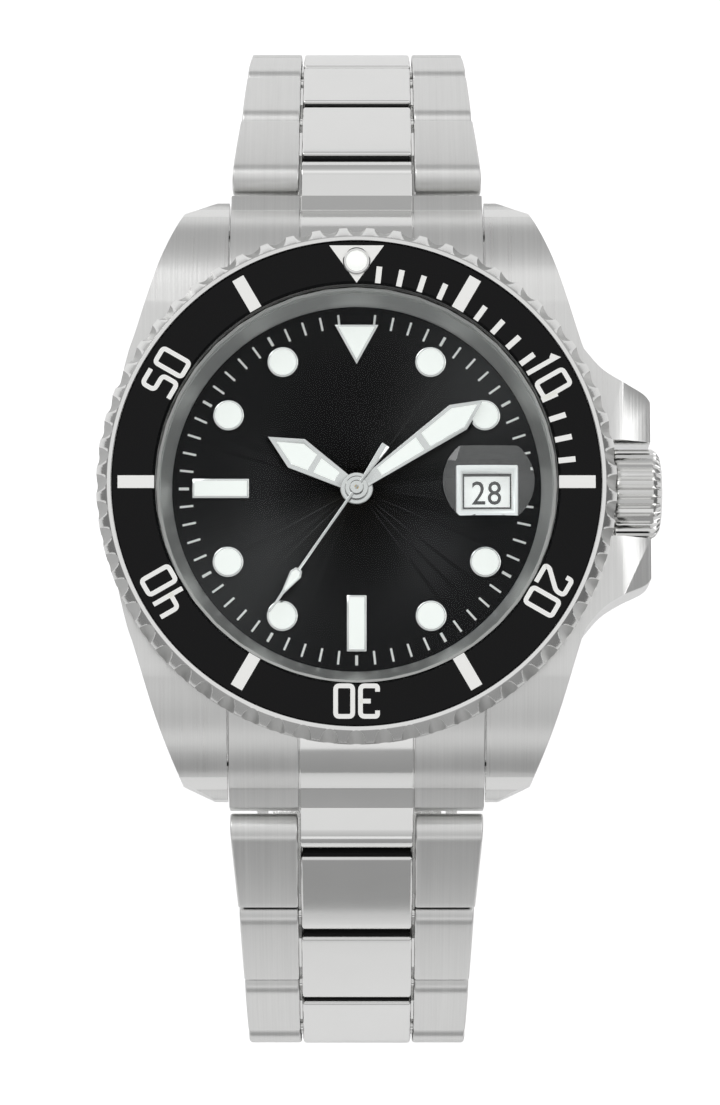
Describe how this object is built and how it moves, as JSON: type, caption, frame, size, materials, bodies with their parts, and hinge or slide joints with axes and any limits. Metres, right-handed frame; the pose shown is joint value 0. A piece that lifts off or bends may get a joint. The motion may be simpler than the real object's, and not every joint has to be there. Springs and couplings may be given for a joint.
{
  "type": "dive watch",
  "caption": "Self-winding dive watch with a turning bezel, date under a magnifier, screw-down crown and a closed three-link bracelet with folding clasp.",
  "frame": {"origin": "centre of the case back's flat face", "axes": "+Z points to 12 o'clock, +X to 3 o'clock and the crown, +Y out of the case back towards the wrist, so the dial faces -Y"},
  "size_m": [0.0437, 0.067, 0.0822],
  "materials": {
    "steel_case": "brushed and polished",
    "steel_back": "turned",
    "steel_bezel": "polished",
    "ceramic": "polished ceramic",
    "lume": "luminous",
    "spring_steel": "drawn",
    "sapphire": "clear",
    "seal_white": "matte",
    "seal_black": "matte",
    "dial_black": "sunray satin",
    "steel_trim": "polished",
    "brass_gilt": "gilt",
    "nickel_plate": "nickel plated",
    "holder_plastic": "matte",
    "date_white": "matte",
    "tungsten": "brushed",
    "steel_bracelet": "brushed, polished centre",
    "steel_clasp": "brushed"
  },
  "bodies": {
    "case": {"mid_case": "steel_case", "case_back": "steel_back", "case_back_gasket": "seal_black", "bezel_retaining_wire": "spring_steel", "bezel_click_spring": "spring_steel", "crystal": "sapphire", "crystal_gasket": "seal_white", "date_magnifier": "sapphire", "rehaut_ring": "steel_trim", "dial": "dial_black", "date_window_frame": "steel_trim", "movement_holder": "holder_plastic", "main_plate": "nickel_plate", "train_bridge": "nickel_plate", "balance_bridge": "nickel_plate", "crown_tube": "steel_case", "end_link_12": "steel_bracelet", "end_link_6": "steel_bracelet", "spring_bar_12": "spring_steel", "spring_bar_6": "spring_steel"},
    "bezel": {"bezel_ring": "steel_bezel", "bezel_insert": "ceramic", "bezel_lume_pip": "lume"},
    "minute": {"minute_hand": "steel_trim", "cannon_pinion": "spring_steel"},
    "hour": {"hour_hand": "steel_trim", "hour_wheel": "brass_gilt"},
    "seconds": {"seconds_hand": "steel_trim", "fourth_wheel": "brass_gilt"},
    "third": {"third_wheel": "brass_gilt"},
    "barrel": {"mainspring_barrel": "brass_gilt"},
    "escape": {"escape_wheel": "spring_steel"},
    "pallet": {"pallet_fork": "spring_steel"},
    "balance": {"balance_wheel": "brass_gilt"},
    "winding_rotor": {"rotor": "tungsten"},
    "date": {"date_disc": "date_white"},
    "clutch": {"sliding_pinion": "spring_steel"},
    "winding_crown": {"crown": "steel_case", "winding_stem": "spring_steel", "crown_gasket": "seal_black"},
    "row_12_1": {"link_12_1": "steel_bracelet"},
    "row_12_2": {"link_12_2": "steel_bracelet"},
    "row_12_3": {"link_12_3": "steel_bracelet"},
    "row_12_4": {"link_12_4": "steel_bracelet"},
    "row_12_5": {"link_12_5": "steel_bracelet"},
    "row_12_6": {"link_12_6": "steel_bracelet"},
    "row_12_7": {"link_12_7": "steel_bracelet"},
    "row_12_8": {"link_12_8": "steel_bracelet"},
    "row_6_1": {"link_6_1": "steel_bracelet"},
    "row_6_2": {"link_6_2": "steel_bracelet"},
    "row_6_3": {"link_6_3": "steel_bracelet"},
    "row_6_4": {"link_6_4": "steel_bracelet"},
    "row_6_5": {"link_6_5": "steel_bracelet"},
    "row_6_6": {"link_6_6": "steel_bracelet"},
    "row_6_7": {"link_6_7": "steel_bracelet"},
    "cover": {"clasp_cover": "steel_clasp"},
    "outer_blade": {"clasp_outer_blade": "steel_clasp"},
    "inner_blade": {"clasp_inner_blade": "steel_clasp"},
    "flap": {"safety_flap": "steel_clasp"}
  },
  "joints": [
    {"name": "bezel_turn", "type": "hinge", "parent": "case", "child": "bezel", "pos_m": [0, -0.01, 0], "axis": [0, 1, 0], "continuous": true},
    {"name": "minute_turn", "type": "hinge", "parent": "case", "child": "minute", "pos_m": [0, -0.0084, 0], "axis": [0, 1, 0], "continuous": true},
    {"name": "hour_turn", "type": "hinge", "parent": "case", "child": "hour", "pos_m": [0, -0.008, 0], "axis": [0, 1, 0], "continuous": true},
    {"name": "seconds_turn", "type": "hinge", "parent": "case", "child": "seconds", "pos_m": [0, -0.0087, 0], "axis": [0, 1, 0], "continuous": true},
    {"name": "third_turn", "type": "hinge", "parent": "case", "child": "third", "pos_m": [-0.002, -0.00485, -0.0039], "axis": [0, 1, 0], "continuous": true},
    {"name": "barrel_turn", "type": "hinge", "parent": "case", "child": "barrel", "pos_m": [-0.0056, -0.0044, 0.0059], "axis": [0, 1, 0], "continuous": true},
    {"name": "escape_turn", "type": "hinge", "parent": "case", "child": "escape", "pos_m": [0.0026, -0.0039, -0.00256], "axis": [0, 1, 0], "continuous": true},
    {"name": "balance_swing", "type": "hinge", "parent": "case", "child": "balance", "pos_m": [0.0062, -0.0034, -0.0061], "axis": [0, 1, 0], "range_deg": [-135, 135]},
    {"name": "pallet_swing", "type": "hinge", "parent": "case", "child": "pallet", "pos_m": [0.00475, -0.0039, -0.0047], "axis": [0, 1, 0], "range_deg": [-6, 6]},
    {"name": "rotor_turn", "type": "hinge", "parent": "case", "child": "winding_rotor", "pos_m": [0, -0.002, 0], "axis": [0, 1, 0], "continuous": true},
    {"name": "date_turn", "type": "hinge", "parent": "case", "child": "date", "pos_m": [0, -0.00685, 0], "axis": [0, 1, 0], "continuous": true},
    {"name": "crown_turn", "type": "hinge", "parent": "case", "child": "clutch", "pos_m": [0.0095, -0.005, 0], "axis": [1, 0, 0], "continuous": true},
    {"name": "crown_pull", "type": "slide", "parent": "clutch", "child": "winding_crown", "axis": [1, 0, 0], "range_m": [0, 0.0016]},
    {"name": "row_12_1_bend", "type": "hinge", "parent": "case", "child": "row_12_1", "pos_m": [0, -0.0012, 0.0259], "axis": [1, 0, 0], "range_deg": [0, 18]},
    {"name": "row_12_2_bend", "type": "hinge", "parent": "row_12_1", "child": "row_12_2", "pos_m": [0, 0.00509, 0.03177], "axis": [1, 0, 0], "range_deg": [0, 18]},
    {"name": "row_12_3_bend", "type": "hinge", "parent": "row_12_2", "child": "row_12_3", "pos_m": [0, 0.01213, 0.0367], "axis": [1, 0, 0], "range_deg": [0, 18]},
    {"name": "row_12_4_bend", "type": "hinge", "parent": "row_12_3", "child": "row_12_4", "pos_m": [0, 0.02016, 0.03978], "axis": [1, 0, 0], "range_deg": [0, 18]},
    {"name": "row_12_5_bend", "type": "hinge", "parent": "row_12_4", "child": "row_12_5", "pos_m": [0, 0.02876, 0.03948], "axis": [1, 0, 0], "range_deg": [0, 18]},
    {"name": "row_12_6_bend", "type": "hinge", "parent": "row_12_5", "child": "row_12_6", "pos_m": [0, 0.03673, 0.03626], "axis": [1, 0, 0], "range_deg": [0, 18]},
    {"name": "row_12_7_bend", "type": "hinge", "parent": "row_12_6", "child": "row_12_7", "pos_m": [0, 0.04332, 0.03073], "axis": [1, 0, 0], "range_deg": [0, 18]},
    {"name": "row_12_8_bend", "type": "hinge", "parent": "row_12_7", "child": "row_12_8", "pos_m": [0, 0.04762, 0.02328], "axis": [1, 0, 0], "range_deg": [0, 18]},
    {"name": "row_6_1_bend", "type": "hinge", "parent": "case", "child": "row_6_1", "pos_m": [0, -0.0012, -0.0259], "axis": [-1, 0, 0], "range_deg": [0, 18]},
    {"name": "row_6_2_bend", "type": "hinge", "parent": "row_6_1", "child": "row_6_2", "pos_m": [0, 0.00509, -0.03177], "axis": [-1, 0, 0], "range_deg": [0, 18]},
    {"name": "row_6_3_bend", "type": "hinge", "parent": "row_6_2", "child": "row_6_3", "pos_m": [0, 0.01213, -0.0367], "axis": [-1, 0, 0], "range_deg": [0, 18]},
    {"name": "row_6_4_bend", "type": "hinge", "parent": "row_6_3", "child": "row_6_4", "pos_m": [0, 0.02016, -0.03978], "axis": [-1, 0, 0], "range_deg": [0, 18]},
    {"name": "row_6_5_bend", "type": "hinge", "parent": "row_6_4", "child": "row_6_5", "pos_m": [0, 0.02876, -0.03948], "axis": [-1, 0, 0], "range_deg": [0, 18]},
    {"name": "row_6_6_bend", "type": "hinge", "parent": "row_6_5", "child": "row_6_6", "pos_m": [0, 0.03673, -0.03626], "axis": [-1, 0, 0], "range_deg": [0, 18]},
    {"name": "row_6_7_bend", "type": "hinge", "parent": "row_6_6", "child": "row_6_7", "pos_m": [0, 0.04332, -0.03073], "axis": [-1, 0, 0], "range_deg": [0, 18]},
    {"name": "cover_bend", "type": "hinge", "parent": "row_12_8", "child": "cover", "pos_m": [0, 0.04941, 0.01487], "axis": [1, 0, 0], "range_deg": [0, 18]},
    {"name": "outer_blade_unfold", "type": "hinge", "parent": "cover", "child": "outer_blade", "pos_m": [0, 0.0499, -0.0193], "axis": [1, 0, 0], "range_deg": [0, 75]},
    {"name": "inner_blade_unfold", "type": "hinge", "parent": "outer_blade", "child": "inner_blade", "pos_m": [0, 0.05075, 0.0109], "axis": [-1, 0, 0], "range_deg": [0, 75]},
    {"name": "flap_open", "type": "hinge", "parent": "cover", "child": "flap", "pos_m": [0, 0.0541, -0.00845], "axis": [1, 0, 0], "range_deg": [0, 110]}
  ],
  "couplings": [
    {"joint": "hour_turn", "follows": "minute_turn", "ratio": 0.083333},
    {"joint": "seconds_turn", "follows": "minute_turn", "ratio": 60},
    {"joint": "third_turn", "follows": "minute_turn", "ratio": -7.5},
    {"joint": "barrel_turn", "follows": "minute_turn", "ratio": -0.125},
    {"joint": "escape_turn", "follows": "minute_turn", "ratio": -600},
    {"joint": "pallet_swing", "follows": "balance_swing", "ratio": 0.044444},
    {"joint": "row_12_2_bend", "follows": "row_12_1_bend", "ratio": 1},
    {"joint": "row_12_3_bend", "follows": "row_12_1_bend", "ratio": 1},
    {"joint": "row_12_4_bend", "follows": "row_12_1_bend", "ratio": 1},
    {"joint": "row_12_5_bend", "follows": "row_12_1_bend", "ratio": 1},
    {"joint": "row_12_6_bend", "follows": "row_12_1_bend", "ratio": 1},
    {"joint": "row_12_7_bend", "follows": "row_12_1_bend", "ratio": 1},
    {"joint": "row_12_8_bend", "follows": "row_12_1_bend", "ratio": 1},
    {"joint": "row_6_2_bend", "follows": "row_6_1_bend", "ratio": 1},
    {"joint": "row_6_3_bend", "follows": "row_6_1_bend", "ratio": 1},
    {"joint": "row_6_4_bend", "follows": "row_6_1_bend", "ratio": 1},
    {"joint": "row_6_5_bend", "follows": "row_6_1_bend", "ratio": 1},
    {"joint": "row_6_6_bend", "follows": "row_6_1_bend", "ratio": 1},
    {"joint": "row_6_7_bend", "follows": "row_6_1_bend", "ratio": 1},
    {"joint": "cover_bend", "follows": "row_12_1_bend", "ratio": 1},
    {"joint": "outer_blade_unfold", "follows": "row_12_1_bend", "ratio": 4},
    {"joint": "inner_blade_unfold", "follows": "row_12_1_bend", "ratio": 4}
  ]
}
